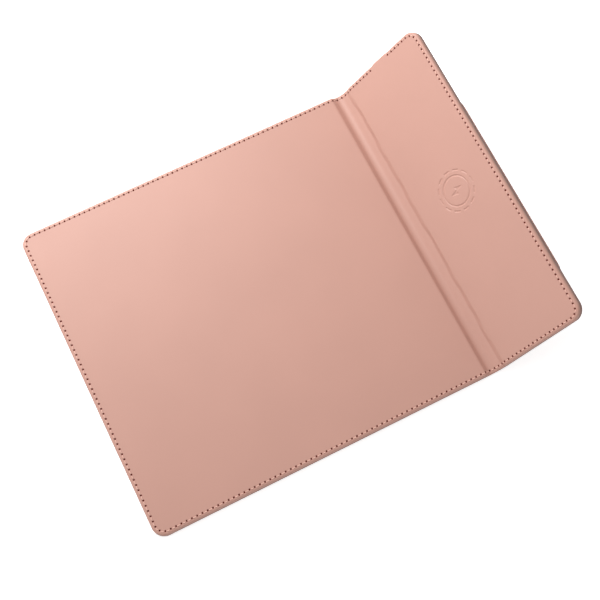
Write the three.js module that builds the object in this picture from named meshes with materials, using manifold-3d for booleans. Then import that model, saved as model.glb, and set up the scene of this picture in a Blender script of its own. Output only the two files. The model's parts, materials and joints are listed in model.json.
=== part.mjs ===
// A folding leather desk mat with a wireless charger in it. A large panel lies on the desk as the mouse
// surface, a soft spine with two creases joins it to a flap, and the flap stands up behind the panel on a
// hinged prop leaf. The flap holds the charger, and a phone leans on it.
//
// Frame: millimetres, +Z up. The desk is z = 0 and the origin is the middle of the panel's underside.
// +X runs from the panel towards the flap, and +Y to the short side that has the charging port.

import * as THREE from 'three';
import { mergeVertices } from 'three/addons/utils/BufferGeometryUtils.js';
import Module from 'manifold-3d';

const wasm = await Module();
wasm.setup();

// ---------- Driving dimensions, in mm and degrees ----------

const WIDTH = 210; // across the mat, along Y
const PANEL_LENGTH = 221.5;
const SPINE_LENGTH = 15; // from the panel's edge to the flap's edge when the mat lies flat
const FLAP_LENGTH = 63.5;
const THICKNESS = 4.8; // of the panel and of the flap
const SPINE_THICKNESS = 2.3;
const CORNER_RADIUS = 8;

const LEATHER = 0.7;
const FOAM = 0.45;
const GLUE = 0.05; // the glue line between two layers
const PLAY = 0.3; // free space beside a crease

const CREASE_INSET = 3.25; // from a padded edge to the crease that it turns about
const SPINE_ANGLE = 10; // above the desk, as the mat stands in use
const FLAP_ANGLE = 46;

const STITCH_INSET = 2.4; // from the outer edge to the seam
const GROOVE_WIDTH = 1;
const GROOVE_DEPTH = 0.35;
const THREAD_WIDTH = 0.6;

const PORT_X = CREASE_INSET + FLAP_LENGTH / 2 - 0.5; // the charging port's middle, along the flap
const CHARGER_X = PORT_X + 1.3; // the coil's middle, along the flap
const CHARGER_Y = 2.5; // and across it
const PORT_GAP = 12.4; // the seam stops this far for the port

const PROP_WIDTH = 130;
const PROP_LENGTH = 48; // from its crease to its foot
const PROP_THICKNESS = 2;
const PROP_X = 56; // where its crease is on the flap's back

const ARC_STEPS = 6; // flats to a quarter round
const PAST = 1; // how far a cutting solid reaches past the surface it cuts

// ---------- Materials ----------

const paint = (color, roughness, metalness = 0) =>
  new THREE.MeshStandardMaterial({ color, roughness, metalness });

const LEATHER_TOP = paint(0xdcab9a, 0.5);
const LEATHER_BASE = paint(0xcf9a88, 0.65);
const THREAD = paint(0xd49c8c, 0.7);
const FIBREBOARD = paint(0x8c7b66, 0.9);
const FOAM_SHEET = paint(0xe8e4da, 0.95);
const PLASTIC_BLACK = paint(0x1d1d20, 0.55);
const PLASTIC_WHITE = paint(0xe9e9e6, 0.5);
const COPPER = paint(0xb8733a, 0.35, 0.9);
const FERRITE = paint(0x2d2b2c, 0.7);
const CIRCUIT = paint(0x1f5a36, 0.5);
const CERAMIC = paint(0xb79f7a, 0.5);
const STEEL = paint(0xb9bcc0, 0.3, 1);
const MAGNET = paint(0xc9cacc, 0.25, 1);

// ---------- Solids ----------

const degrees = THREE.MathUtils.degToRad;

// A closed geometry as a manifold-3d solid.
function solidOf(geometry) {
  const bare = geometry.clone();
  bare.deleteAttribute('normal');
  bare.deleteAttribute('uv');
  const merged = mergeVertices(bare, 1e-4);
  return new wasm.Manifold(
    new wasm.Mesh({
      numProp: 3,
      vertProperties: merged.attributes.position.array,
      triVerts: new Uint32Array(merged.index.array),
    }),
  );
}

function geometryOf(solid) {
  const mesh = solid.getMesh();
  return new THREE.BufferGeometry()
    .setAttribute('position', new THREE.BufferAttribute(mesh.vertProperties, 3))
    .setIndex(new THREE.BufferAttribute(mesh.triVerts, 1));
}

const join = (first, ...others) =>
  geometryOf(others.reduce((whole, part) => whole.add(solidOf(part)), solidOf(first)));

const cut = (first, ...others) =>
  geometryOf(others.reduce((whole, part) => whole.subtract(solidOf(part)), solidOf(first)));

// A flat plate of the given outline between two heights.
function plate(shape, low, high, curveSegments = 24) {
  const depth = high - low;
  return new THREE.ExtrudeGeometry(shape, { depth, bevelEnabled: false, curveSegments })
    .translate(0, 0, low);
}

// A block given by its limits along each axis.
const block = ([x0, x1], [y0, y1], [z0, z1]) =>
  new THREE.BoxGeometry(x1 - x0, y1 - y0, z1 - z0)
    .translate((x0 + x1) / 2, (y0 + y1) / 2, (z0 + z1) / 2);

// A block given by its middle on a plate, its size and the height it stands at.
const chip = (x, y, length, width, low, height) =>
  block([x - length / 2, x + length / 2], [y - width / 2, y + width / 2], [low, low + height]);

function disc(x, y, radius, low, high) {
  const shape = new THREE.Shape().absarc(x, y, radius, 0, 2 * Math.PI);
  return plate(shape, low, high, 2 * ARC_STEPS);
}

function ring(x, y, outer, inner, low, high) {
  const shape = new THREE.Shape().absarc(x, y, outer, 0, 2 * Math.PI);
  shape.holes.push(new THREE.Path().absarc(x, y, inner, 0, 2 * Math.PI));
  return plate(shape, low, high, 4 * ARC_STEPS);
}

// A profile drawn in X and Z, drawn out along Y.
function alongY(profile, y0, y1) {
  return plate(profile, 0, y1 - y0, ARC_STEPS)
    .rotateX(Math.PI / 2)
    .translate(0, y1, 0);
}

// A flat bar's profile with both ends rounded, for a part that turns about one of its ends.
function roundedBar(from, to, radius) {
  return new THREE.Shape()
    .absarc(to, 0, radius, -Math.PI / 2, Math.PI / 2)
    .absarc(from, 0, radius, Math.PI / 2, 1.5 * Math.PI);
}

// The mat's outline, moved inwards by inset: from one long side at x = start, round the two rounded
// corners at x = end, and back to x = stop on the other long side.
function outline(start, end, inset, stop = start) {
  const facing = Math.sign(end - start);
  const radius = CORNER_RADIUS - inset;
  const centreX = end - facing * CORNER_RADIUS;
  const centreY = WIDTH / 2 - CORNER_RADIUS;
  const corner = (side, from) =>
    Array.from({ length: ARC_STEPS + 1 }, (_, i) => {
      const angle = from + (i / ARC_STEPS) * (Math.PI / 2);
      return new THREE.Vector2(
        centreX + facing * radius * Math.cos(angle),
        side * centreY + radius * Math.sin(angle),
      );
    });
  return [
    new THREE.Vector2(start, -(WIDTH / 2 - inset)),
    ...corner(-1, -Math.PI / 2),
    ...corner(1, 0),
    new THREE.Vector2(stop, WIDTH / 2 - inset),
  ];
}

const sheet = (start, end, inset, low, high) =>
  plate(new THREE.Shape(outline(start, end, inset)), low, high);

// A strip of the given width along the seam that runs round the mat's edge.
function seam(start, end, stop, width, low, high) {
  const outer = outline(start, end, STITCH_INSET - width / 2, stop);
  const inner = outline(start, end, STITCH_INSET + width / 2, stop);
  return plate(new THREE.Shape([...outer, ...inner.reverse()]), low, high);
}

// A straight stretch of the same seam, along one long side.
function straightSeam(from, to, side, width, low, high) {
  const middle = side * (WIDTH / 2 - STITCH_INSET);
  return block([from, to], [middle - width / 2, middle + width / 2], [low, high]);
}

function piece(group, name, geometry, material) {
  const mesh = new THREE.Mesh(geometry, material);
  mesh.name = name;
  group.add(mesh);
  return mesh;
}

function turned(parent, x, z, angle) {
  const group = new THREE.Group();
  group.position.set(x, 0, z);
  group.rotation.y = -degrees(angle);
  parent.add(group);
  return group;
}

// ---------- Layers that the panel and the flap share ----------

const BOARD_BOTTOM = LEATHER + GLUE;
const FOAM_TOP = THICKNESS - LEATHER - GLUE;
const BOARD_TOP = FOAM_TOP - FOAM - GLUE;
const GROOVE_BOTTOM = THICKNESS - GROOVE_DEPTH;
const TONGUE = CREASE_INSET - SPINE_THICKNESS / 2 - PLAY; // the thin lip beside the crease

// The upper leather: flat on top, folded down round the edge, with a thin lip towards the crease.
// "start" is the padded edge beside the crease and "end" the outer edge.
function topCover(start, end) {
  const facing = Math.sign(end - start);
  const whole = sheet(start, end, 0, BOARD_BOTTOM, THICKNESS);
  const pocket = sheet(start + facing * LEATHER, end, LEATHER, 0, THICKNESS - LEATHER);
  const lipEnds = [start - facing * TONGUE, start + facing * (LEATHER / 2)].sort((a, b) => a - b);
  const lip = block(lipEnds, [-WIDTH / 2, WIDTH / 2], [BOARD_BOTTOM, SPINE_THICKNESS]);
  return join(cut(whole, pocket), lip);
}

const baseCover = (start, end) =>
  sheet(start - Math.sign(end - start) * TONGUE, end, 0, 0, LEATHER);

// A stiff or soft sheet inside the leather.
const filling = (start, end, low, high) =>
  sheet(start + Math.sign(end - start) * BOARD_BOTTOM, end, BOARD_BOTTOM, low, high);

// ---------- Panel ----------

function buildPanel(group) {
  const start = PANEL_LENGTH / 2;
  const end = -PANEL_LENGTH / 2;
  const lipEnd = start + TONGUE;
  const groove = seam(lipEnd, end, lipEnd, GROOVE_WIDTH, GROOVE_BOTTOM, THICKNESS + PAST);
  piece(group, 'panel_base_cover', baseCover(start, end), LEATHER_BASE);
  piece(group, 'panel_board', filling(start, end, BOARD_BOTTOM, BOARD_TOP), FIBREBOARD);
  piece(group, 'panel_foam', filling(start, end, BOARD_TOP + GLUE, FOAM_TOP), FOAM_SHEET);
  piece(group, 'panel_top_cover', cut(topCover(start, end), groove), LEATHER_TOP);
  const thread = seam(start, end, start, THREAD_WIDTH, GROOVE_BOTTOM + GLUE, THICKNESS);
  piece(group, 'panel_stitching', thread, THREAD);
}

// ---------- Spine ----------

const CREASE_SPACING = SPINE_LENGTH - 2 * CREASE_INSET;
const STIFFENER_THICKNESS = 0.6;
const STIFFENER_INSET = 1; // from each long side of the mat

// The part of the spine's rounded section that lies between two heights, drawn out across the mat.
function spineLayer(low, high) {
  const section = alongY(roundedBar(0, CREASE_SPACING, SPINE_THICKNESS / 2), -WIDTH / 2, WIDTH / 2);
  const lengths = [-SPINE_LENGTH, 2 * SPINE_LENGTH];
  const above = block(lengths, [-WIDTH, WIDTH], [high, high + SPINE_THICKNESS]);
  const below = block(lengths, [-WIDTH, WIDTH], [low - SPINE_THICKNESS, low]);
  return cut(section, above, below);
}

function buildSpine(group) {
  const half = SPINE_THICKNESS / 2;
  const core = STIFFENER_THICKNESS / 2;
  const low = half - GROOVE_DEPTH;
  piece(group, 'spine_base_cover', spineLayer(-half, -core - GLUE), LEATHER_BASE);

  const sides = [STIFFENER_INSET - WIDTH / 2, WIDTH / 2 - STIFFENER_INSET];
  piece(group, 'spine_stiffener', block([half, CREASE_SPACING - half], sides, [-core, core]), PLASTIC_WHITE);

  const grooves = [-1, 1].map((side) =>
    straightSeam(-half - PAST, CREASE_SPACING + half + PAST, side, GROOVE_WIDTH, low, half + PAST));
  piece(group, 'spine_top_cover', cut(spineLayer(core + GLUE, half), ...grooves), LEATHER_TOP);
  [['near', -1], ['far', 1]].forEach(([name, side]) => {
    const thread = straightSeam(0, CREASE_SPACING, side, THREAD_WIDTH, low + GLUE, half);
    piece(group, `spine_stitching_${name}`, thread, THREAD);
  });
}

// ---------- Flap ----------

const FLAP_START = CREASE_INSET;
const FLAP_END = CREASE_INSET + FLAP_LENGTH;
const SKIRT_INSIDE = WIDTH / 2 - LEATHER; // the inner face of the leather at the port

const TRAY_WIDTH = 46;
const TRAY_START = -26;
const TRAY_END = SKIRT_INSIDE - GLUE;
const TRAY_WALL = 0.8;
const TRAY_FLOOR = 0.5;
const FLOOR_TOP = BOARD_BOTTOM + TRAY_FLOOR;
const FIT = 0.1; // free space round the tray

// The charging mark, pressed into the leather over the coil: a plain ring, a dashed ring round it and a
// plain bolt in the middle.
function markTools() {
  const depth = 0.25;
  const low = THICKNESS - depth;
  const high = THICKNESS + PAST;
  const line = 0.9;
  const ringRadius = 9.5;
  const dashRadius = 12.9;
  const dashes = 12;
  const dashShare = 0.6; // of the pitch
  const tools = [ring(CHARGER_X, CHARGER_Y, ringRadius + line / 2, ringRadius - line / 2, low, high)];
  for (let i = 0; i < dashes; i++) {
    const from = ((i - dashShare / 2) / dashes) * 2 * Math.PI;
    const to = ((i + dashShare / 2) / dashes) * 2 * Math.PI;
    const dash = new THREE.Shape()
      .absarc(CHARGER_X, CHARGER_Y, dashRadius + line / 2, from, to)
      .absarc(CHARGER_X, CHARGER_Y, dashRadius - line / 2, to, from, true);
    tools.push(plate(dash, low, high, ARC_STEPS / 2));
  }
  const bolt = [[4.6, 0.9], [-0.6, 2.6], [0.4, 0.4], [-4.6, -0.9], [0.6, -2.6], [-0.4, -0.4]]; // corners
  const points = bolt.map(([x, y]) => new THREE.Vector2(CHARGER_X + x, CHARGER_Y + y));
  tools.push(plate(new THREE.Shape(points), low, high));
  return tools;
}

function buildFlapCovers(group) {
  const seamOpen = { before: PORT_X - PORT_GAP / 2, after: PORT_X + PORT_GAP / 2 };
  const lipStart = FLAP_START - TONGUE;
  const high = THICKNESS + PAST;
  const grooveLong = seam(lipStart, FLAP_END, seamOpen.after, GROOVE_WIDTH, GROOVE_BOTTOM, high);
  const grooveShort = straightSeam(lipStart, seamOpen.before, 1, GROOVE_WIDTH, GROOVE_BOTTOM, high);
  const portHole = chip(PORT_X, WIDTH / 2, PORT_WIDTH, 2 * PAST, 0, FOAM_TOP + GLUE);
  const cover = cut(topCover(FLAP_START, FLAP_END), grooveLong, grooveShort, portHole, ...markTools());
  piece(group, 'flap_top_cover', cover, LEATHER_TOP);
  piece(group, 'flap_base_cover', baseCover(FLAP_START, FLAP_END), LEATHER_BASE);

  const low = GROOVE_BOTTOM + GLUE;
  const long = seam(FLAP_START, FLAP_END, seamOpen.after, THREAD_WIDTH, low, THICKNESS);
  piece(group, 'flap_stitching', long, THREAD);
  const short = straightSeam(FLAP_START, seamOpen.before, 1, THREAD_WIDTH, low, THICKNESS);
  piece(group, 'flap_stitching_by_port', short, THREAD);
}

// The window in the flap's board and foam that the charger tray drops into. It is open at the port.
function trayWindow() {
  const half = TRAY_WIDTH / 2 + FIT;
  return block([CHARGER_X - half, CHARGER_X + half], [TRAY_START - FIT, WIDTH / 2], [0, THICKNESS]);
}

const KEEPER_RADIUS = 5;
const KEEPER_THICKNESS = 0.3;
const KEEPER_REACH = 37; // from the leaf's crease to its magnets
const KEEPER_X = PROP_X - KEEPER_REACH;
const KEEPER_Y = 45;

function buildFlapCore(group) {
  const opening = trayWindow();
  const pocketTop = BOARD_BOTTOM + KEEPER_THICKNESS + GLUE;
  const pocket = disc(KEEPER_X, -KEEPER_Y, KEEPER_RADIUS + FIT, 0, pocketTop);
  const board = filling(FLAP_START, FLAP_END, BOARD_BOTTOM, BOARD_TOP);
  piece(group, 'flap_board', cut(board, opening, pocket), FIBREBOARD);
  const foam = filling(FLAP_START, FLAP_END, BOARD_TOP + GLUE, FOAM_TOP);
  piece(group, 'flap_foam', cut(foam, opening), FOAM_SHEET);

  // Thin steel discs that the prop leaf's magnets hold on to: one in the board, one on the tray's floor.
  const near = disc(KEEPER_X, -KEEPER_Y, KEEPER_RADIUS, BOARD_BOTTOM, BOARD_BOTTOM + KEEPER_THICKNESS);
  piece(group, 'steel_keeper_near', near, STEEL);
  const floor = FLOOR_TOP + GLUE;
  const far = disc(KEEPER_X, KEEPER_Y, KEEPER_RADIUS, floor, floor + KEEPER_THICKNESS);
  piece(group, 'steel_keeper_far', far, STEEL);
}

// ---------- Charger ----------

const USB_WIDTH = 8.94;
const USB_HEIGHT = 3.16;
const USB_DEPTH = 7.3;
const USB_WALL = 0.3;
const USB_END = TRAY_END - FIT;
const USB_START = USB_END - USB_DEPTH;
const PORT_WIDTH = 11.8;

// Where the socket stands, through the tray's floor, end wall and lid.
const socketNotch = () =>
  block([PORT_X - USB_WIDTH / 2 - FIT, PORT_X + USB_WIDTH / 2 + FIT],
    [USB_START - FIT, WIDTH / 2], [0, THICKNESS]);

function buildHousing(group) {
  const half = TRAY_WIDTH / 2;
  const limitsX = [CHARGER_X - half, CHARGER_X + half];
  const hollowX = [limitsX[0] + TRAY_WALL, limitsX[1] - TRAY_WALL];
  const hollowY = [TRAY_START + TRAY_WALL, TRAY_END - TRAY_WALL];
  const body = block(limitsX, [TRAY_START, TRAY_END], [BOARD_BOTTOM, BOARD_TOP]);
  const hollow = block(hollowX, hollowY, [FLOOR_TOP, THICKNESS]);
  piece(group, 'charger_tray', cut(body, hollow, socketNotch()), PLASTIC_BLACK);
  const lid = block(limitsX, [TRAY_START, TRAY_END], [BOARD_TOP + GLUE, FOAM_TOP]);
  piece(group, 'charger_lid', cut(lid, socketNotch()), PLASTIC_BLACK);
}

function buildCoil(group) {
  const padThickness = 0.3;
  const padWidth = 40;
  const ferriteThickness = 0.6;
  const ferriteWidth = 44;
  const coilThickness = 1.15;
  const coilOuter = 21.5;
  const coilInner = 10.25;
  const padLow = FLOOR_TOP + GLUE;
  const ferriteLow = padLow + padThickness + GLUE;
  const coilLow = ferriteLow + ferriteThickness + GLUE;
  const coilHigh = coilLow + coilThickness;
  piece(group, 'coil_pad', chip(CHARGER_X, CHARGER_Y, padWidth, padWidth, padLow, padThickness), FOAM_SHEET);
  const ferrite = chip(CHARGER_X, CHARGER_Y, ferriteWidth, ferriteWidth, ferriteLow, ferriteThickness);
  piece(group, 'ferrite_sheet', ferrite, FERRITE);
  const coil = ring(CHARGER_X, CHARGER_Y, coilOuter, coilInner, coilLow, coilHigh);
  piece(group, 'transmit_coil', coil, COPPER);
  const sensor = { length: 1.6, width: 3, height: 0.8 };
  const sensorBlock = chip(CHARGER_X, CHARGER_Y, sensor.length, sensor.width, coilLow, sensor.height);
  piece(group, 'thermistor', sensorBlock, CERAMIC);

  // The coil's two leads lie side by side along the tray to the circuit board.
  const leadRadius = 0.45;
  const leadSpacing = 4;
  const leadStart = CHARGER_Y + coilOuter + FIT;
  const leadLength = BOARD_START - FIT - leadStart;
  [['a', -1], ['b', 1]].forEach(([name, side]) => {
    const lead = new THREE.CylinderGeometry(leadRadius, leadRadius, leadLength, 8)
      .translate(CHARGER_X + side * leadSpacing / 2, leadStart + leadLength / 2, coilLow + leadRadius);
    piece(group, `coil_lead_${name}`, lead, COPPER);
  });
}

const BOARD_START = 58; // the circuit board's inner end, along Y
const CIRCUIT_WIDTH = 36;
const CIRCUIT_THICKNESS = 0.8;

function buildCircuit(group) {
  const low = FLOOR_TOP + GLUE;
  const end = USB_START - FIT;
  const board = block([CHARGER_X - CIRCUIT_WIDTH / 2, CHARGER_X + CIRCUIT_WIDTH / 2],
    [BOARD_START, end], [low, low + CIRCUIT_THICKNESS]);
  piece(group, 'circuit_board', board, CIRCUIT);

  // Each part's middle is given across the board and from the board's inner end.
  const seat = low + CIRCUIT_THICKNESS + GLUE;
  const place = (name, across, along, [length, width, height], material) =>
    piece(group, name, chip(CHARGER_X + across, BOARD_START + along, length, width, seat, height), material);
  const powerChip = [3.3, 3.3, 0.9];
  place('controller_chip', 4, 19, [6, 6, 0.9], PLASTIC_BLACK);
  place('power_chip_a', -6, 11, powerChip, PLASTIC_BLACK);
  place('power_chip_b', 1, 11, powerChip, PLASTIC_BLACK);
  place('filter_inductor', -11, 26, [4, 4, 1.2], FERRITE);
  place('status_led', 8, end - BOARD_START - 1, [1.6, 0.8, 0.6], PLASTIC_WHITE);

  const capacitors = 4;
  const capacitorPitch = 4.5;
  const firstCapacitor = -9;
  for (let i = 0; i < capacitors; i++) {
    const across = firstCapacitor + i * capacitorPitch;
    place(`resonance_capacitor_${i + 1}`, across, 4, [2.5, 3.2, 1.25], CERAMIC);
  }
}

// A socket opening: a flat oval in X and Z with its ends fully round.
function oval(width, height) {
  const radius = height / 2;
  return roundedBar(-(width / 2 - radius), width / 2 - radius, radius);
}

function buildPort(group) {
  const middle = (BOARD_BOTTOM + FOAM_TOP) / 2;
  const at = (geometry) => geometry.translate(PORT_X, 0, middle);
  const bore = { width: USB_WIDTH - 2 * USB_WALL, height: USB_HEIGHT - 2 * USB_WALL };
  const shell = cut(alongY(oval(USB_WIDTH, USB_HEIGHT), USB_START, USB_END),
    alongY(oval(bore.width, bore.height), USB_START - PAST, USB_END + PAST));
  piece(group, 'usb_shell', at(shell), STEEL);

  const backDepth = 1.6;
  const back = alongY(oval(bore.width - 2 * GLUE, bore.height - 2 * GLUE), USB_START, USB_START + backDepth);
  const bladeWidth = 6.6;
  const bladeThickness = 0.7;
  const bladeSetBack = 0.9; // from the socket's mouth
  const blade = block([-bladeWidth / 2, bladeWidth / 2],
    [USB_START + backDepth / 2, USB_END - bladeSetBack], [-bladeThickness / 2, bladeThickness / 2]);
  piece(group, 'usb_tongue', at(join(back, blade)), PLASTIC_BLACK);

  const opening = { width: 8.6, height: 2.75 };
  const trimHeight = (FOAM_TOP - BOARD_BOTTOM) / 2;
  const half = PORT_WIDTH / 2 - FIT;
  const frame = block([-half, half], [SKIRT_INSIDE, WIDTH / 2], [-trimHeight, trimHeight]);
  const hole = alongY(oval(opening.width, opening.height), SKIRT_INSIDE - PAST, WIDTH / 2 + PAST);
  piece(group, 'port_trim', at(cut(frame, hole)), PLASTIC_BLACK);
}

// ---------- Prop leaf ----------

const PROP_SKIN = 0.5;
const PROP_EDGE = 1; // the skins reach this far past the leaf's board on each side
const PROP_GAP = 0.2; // between the flap's back and the stowed leaf
const PROP_Z = -(PROP_GAP + PROP_THICKNESS / 2); // its crease, below the flap's underside

function buildPropAnchor(group) {
  const reach = PROP_THICKNESS / 2 + PLAY;
  const stripLength = 5;
  const strip = block([PROP_X + reach, PROP_X + reach + stripLength], [-PROP_WIDTH / 2, PROP_WIDTH / 2],
    [PROP_Z - PROP_THICKNESS / 2, PROP_Z + PROP_THICKNESS / 2]);
  piece(group, 'prop_anchor_strip', strip, LEATHER_BASE);
}

// The leaf's section runs from its crease at x = 0 to its foot at x = -PROP_LENGTH.
function buildProp(group) {
  const radius = PROP_THICKNESS / 2;
  const core = radius - PROP_SKIN;
  const footX = radius - PROP_LENGTH;
  const section = alongY(roundedBar(footX, 0, radius), -PROP_WIDTH / 2, PROP_WIDTH / 2);
  const skin = (side) => {
    const rest = [side * (core + GLUE), -side * PROP_THICKNESS].sort((a, b) => a - b);
    return cut(section, block([-2 * PROP_LENGTH, PROP_LENGTH], [-WIDTH, WIDTH], rest));
  };
  piece(group, 'prop_inner_skin', skin(1), LEATHER_BASE);
  piece(group, 'prop_outer_skin', skin(-1), LEATHER_BASE);

  const magnetX = KEEPER_X - PROP_X;
  const sides = [['near', -KEEPER_Y], ['far', KEEPER_Y]];
  const holes = sides.map(([, y]) => disc(magnetX, y, KEEPER_RADIUS + FIT, -PAST, PAST));
  const boardEnd = -radius - PLAY; // short of the crease, where only the skins bend
  const boardSide = PROP_WIDTH / 2 - PROP_EDGE;
  const board = block([footX, boardEnd], [-boardSide, boardSide], [-core, core]);
  piece(group, 'prop_board', cut(board, ...holes), FIBREBOARD);
  sides.forEach(([name, y]) =>
    piece(group, `prop_magnet_${name}`, disc(magnetX, y, KEEPER_RADIUS, -core, core), MAGNET));
}

// ---------- Assembly ----------

// How far the leaf opens from the flap's back so that its foot stands on the desk.
function propOpening(axisZ) {
  const flap = degrees(FLAP_ANGLE);
  const down = PROP_Z - SPINE_THICKNESS / 2;
  const height = axisZ + PROP_X * Math.sin(flap) + down * Math.cos(flap);
  const footRadius = PROP_THICKNESS / 2;
  const lean = Math.acos((height - footRadius) / (PROP_LENGTH - footRadius));
  return 90 - FLAP_ANGLE + THREE.MathUtils.radToDeg(lean);
}

const mat = new THREE.Group();
buildPanel(mat);

const axisX = PANEL_LENGTH / 2 + CREASE_INSET;
const axisZ = SPINE_THICKNESS / 2;
const spine = turned(mat, axisX, axisZ, SPINE_ANGLE);
buildSpine(spine);

const flap = turned(spine, CREASE_SPACING, 0, FLAP_ANGLE - SPINE_ANGLE);
const flapPlate = turned(flap, 0, -SPINE_THICKNESS / 2, 0);
buildFlapCovers(flapPlate);
buildFlapCore(flapPlate);
buildHousing(flapPlate);
buildCoil(flapPlate);
buildCircuit(flapPlate);
buildPort(flapPlate);
buildPropAnchor(flapPlate);

const flapAxisZ = axisZ + CREASE_SPACING * Math.sin(degrees(SPINE_ANGLE));
const prop = turned(flapPlate, PROP_X, PROP_Z, propOpening(flapAxisZ));
buildProp(prop);

export default mat;
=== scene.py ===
"""Looks of the folding leather desk mat with the wireless charging flap.

Leather is first laid out flat: s runs along the mat (equal to X on the panel), y across it, and h is the
height above the mat's underside. Two creases then bend it up to where the CAD bodies stand.
Lengths are millimetres until a mesh is made, and metres in the frame.
"""

import json
import math

import bpy
import numpy as np
from mathutils import Matrix, Vector
from mathutils.geometry import delaunay_2d_cdt


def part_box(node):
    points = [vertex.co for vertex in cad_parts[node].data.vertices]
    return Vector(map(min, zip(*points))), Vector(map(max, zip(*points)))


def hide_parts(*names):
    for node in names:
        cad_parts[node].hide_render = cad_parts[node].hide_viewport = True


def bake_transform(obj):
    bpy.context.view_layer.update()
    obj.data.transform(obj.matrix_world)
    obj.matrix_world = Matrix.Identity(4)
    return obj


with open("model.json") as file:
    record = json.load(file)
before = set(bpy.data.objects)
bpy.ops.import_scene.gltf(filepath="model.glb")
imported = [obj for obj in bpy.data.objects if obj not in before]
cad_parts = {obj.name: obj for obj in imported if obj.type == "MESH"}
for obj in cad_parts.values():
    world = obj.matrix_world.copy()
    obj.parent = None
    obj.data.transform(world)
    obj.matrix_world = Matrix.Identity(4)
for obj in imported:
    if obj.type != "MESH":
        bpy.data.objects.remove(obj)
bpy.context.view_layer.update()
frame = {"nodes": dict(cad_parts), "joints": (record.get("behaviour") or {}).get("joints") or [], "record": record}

MM = 0.001
NO_POINTS = np.zeros((0, 2))


# ---------- Sizes read from the frame ----------


def joint_at(name):
    joint = next(j for j in frame["joints"] if j["name"] == name)
    x, _, z = joint["pos_m"]
    return np.array([x, z]) / MM


def box_mm(node):
    low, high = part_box(node)
    return np.array(low) / MM, np.array(high) / MM


SPINE_AXIS = joint_at("spine_fold")
FLAP_AXIS = joint_at("flap_fold")
PROP_AXIS = joint_at("prop_fold")

chord = FLAP_AXIS - SPINE_AXIS
SPINE_ANGLE = math.atan2(chord[1], chord[0])
rest_face = next(m for m in frame["record"]["mounts"] if m["name"] == "phone_rest")
FLAP_ANGLE = math.atan2(-rest_face["axis"][0], rest_face["axis"][2])
FLAP_DIRECTION = np.array([math.cos(FLAP_ANGLE), math.sin(FLAP_ANGLE)])

NEUTRAL = SPINE_AXIS[1]  # the height of the layer that keeps its length in a crease
CREASE_A = SPINE_AXIS[0]
CREASE_B = CREASE_A + math.hypot(*chord)
MID_SPINE = (CREASE_A + CREASE_B) / 2

panel_low, panel_high = box_mm("panel_top_cover")
HALF_WIDTH = panel_high[1]
PANEL_END = panel_low[0]
THICKNESS = panel_high[2]
PANEL_EDGE = box_mm("panel_stitching")[1][0]


def flat_s(node):
    """The lowest and highest flat s of a CAD node on the flap."""
    points = np.array([v.co for v in frame["nodes"][node].data.vertices]) / MM
    along = (points[:, [0, 2]] - FLAP_AXIS) @ FLAP_DIRECTION
    return CREASE_B + along.min(), CREASE_B + along.max()


FLAP_END = flat_s("flap_top_cover")[1]
PORT = flat_s("port_trim")
PORT_MIDDLE = sum(PORT) / 2
coil_low, coil_high = box_mm("transmit_coil")
MARK_MIDDLE = np.array([sum(flat_s("transmit_coil")) / 2, (coil_low[1] + coil_high[1]) / 2])

# ---------- Driving sizes ----------

LEATHER = 0.7
CORNER_RADIUS = 8
ROUNDING = 1.35  # of the padded edge
UNDER_ROUNDING = 0.4  # of the underside's edge
JOIN_HEIGHT = 0.72  # where the top leather meets the underside leather
JOIN_GAP = 0.04  # the underside leather ends this much lower
BEND_A, BEND_B = 3.0, 5.0  # the leather's bend reaches this far to each side of a crease

# The seam
STITCH_INSET = 2.4
PANEL_PITCH = 3.42  # from one needle hole to the next
FLAP_PITCH = 3.31
PORT_GAP = 12.4  # the seam stops this far at the charging port
PORT_CLEARANCE = 0.1
HOLE_RADIUS, HOLE_FLOOR, HOLE_DEPTH = 0.72, 0.12, 0.5
HOLE_SHADE_REACH = (0.48, 0.78)  # painted shade fills a hole up to the first distance from its middle, and fades out by the second
HOLE_SEARCH = 2  # nothing changes beyond this distance from a hole
RIM_LIFT, RIM_OUT, RIM_SPREAD = 0.05, 0.2, 0.22  # the leather stands up slightly round a hole
THREAD_RADIUS = 0.3
THREAD_OUT = 0.3  # the thread is pulled this far out of the line of holes
THREAD_REACH = 0.5  # and starts and ends this far past them
THREAD_ARCH = 0.45  # the power that gives a stitch its flat top
TOP_SINK, TOP_LIFT = 0.42, 0.1  # a stitch starts this deep in a hole and rises this high between two
UNDER_SINK, UNDER_LIFT = 0.4, -0.27
PLY_DEPTH, PLY_TWIST = 0.12, 1.6  # the thread's twisted strands
GROOVE_DEPTH, GROOVE_EDGE = 0.3, (0.3, 0.95)  # the groove the underside's seam lies in

# The pressed charging mark
MARK_RING, MARK_DASHES, MARK_LINE, MARK_DEPTH, MARK_SOFTNESS = 9.5, 12.9, 0.9, 0.3, 0.22
MARK_COUNT, MARK_SHARE = 12, 0.6
MARK_BOLT = np.array([(4.6, 0.9), (-0.6, 2.6), (0.4, 0.4), (-4.6, -0.9), (0.6, -2.6), (-0.4, -0.4)])
BOLT_REACH = 7
MARK_POINT_STEP, MARK_REACH, MARK_CLEARANCE = 0.28, 14.5, 0.7

# The prop leaf
LEAF_LEATHER = 0.45
LEAF_HALF = 1.0  # half its thickness
HINGE_HALF = 0.62  # the same where it bends
HINGE_SLOPE = (1.2, 3.0)  # it thickens between these distances from its hinge
LEAF_CORNER, LEAF_ROUNDING = 4.0, 0.7
LEAF_INSET, LEAF_PITCH = 2.2, 3.3
LEAF_SINK, LEAF_LIFT = 0.35, 0.06
LEAF_BEND, LEAF_BLEND = 1.2, 1.75
LEAF_JOIN = 0.02
LEAF_TIP = 1.2  # the points this near to the board's far end give the leaf's direction

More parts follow.
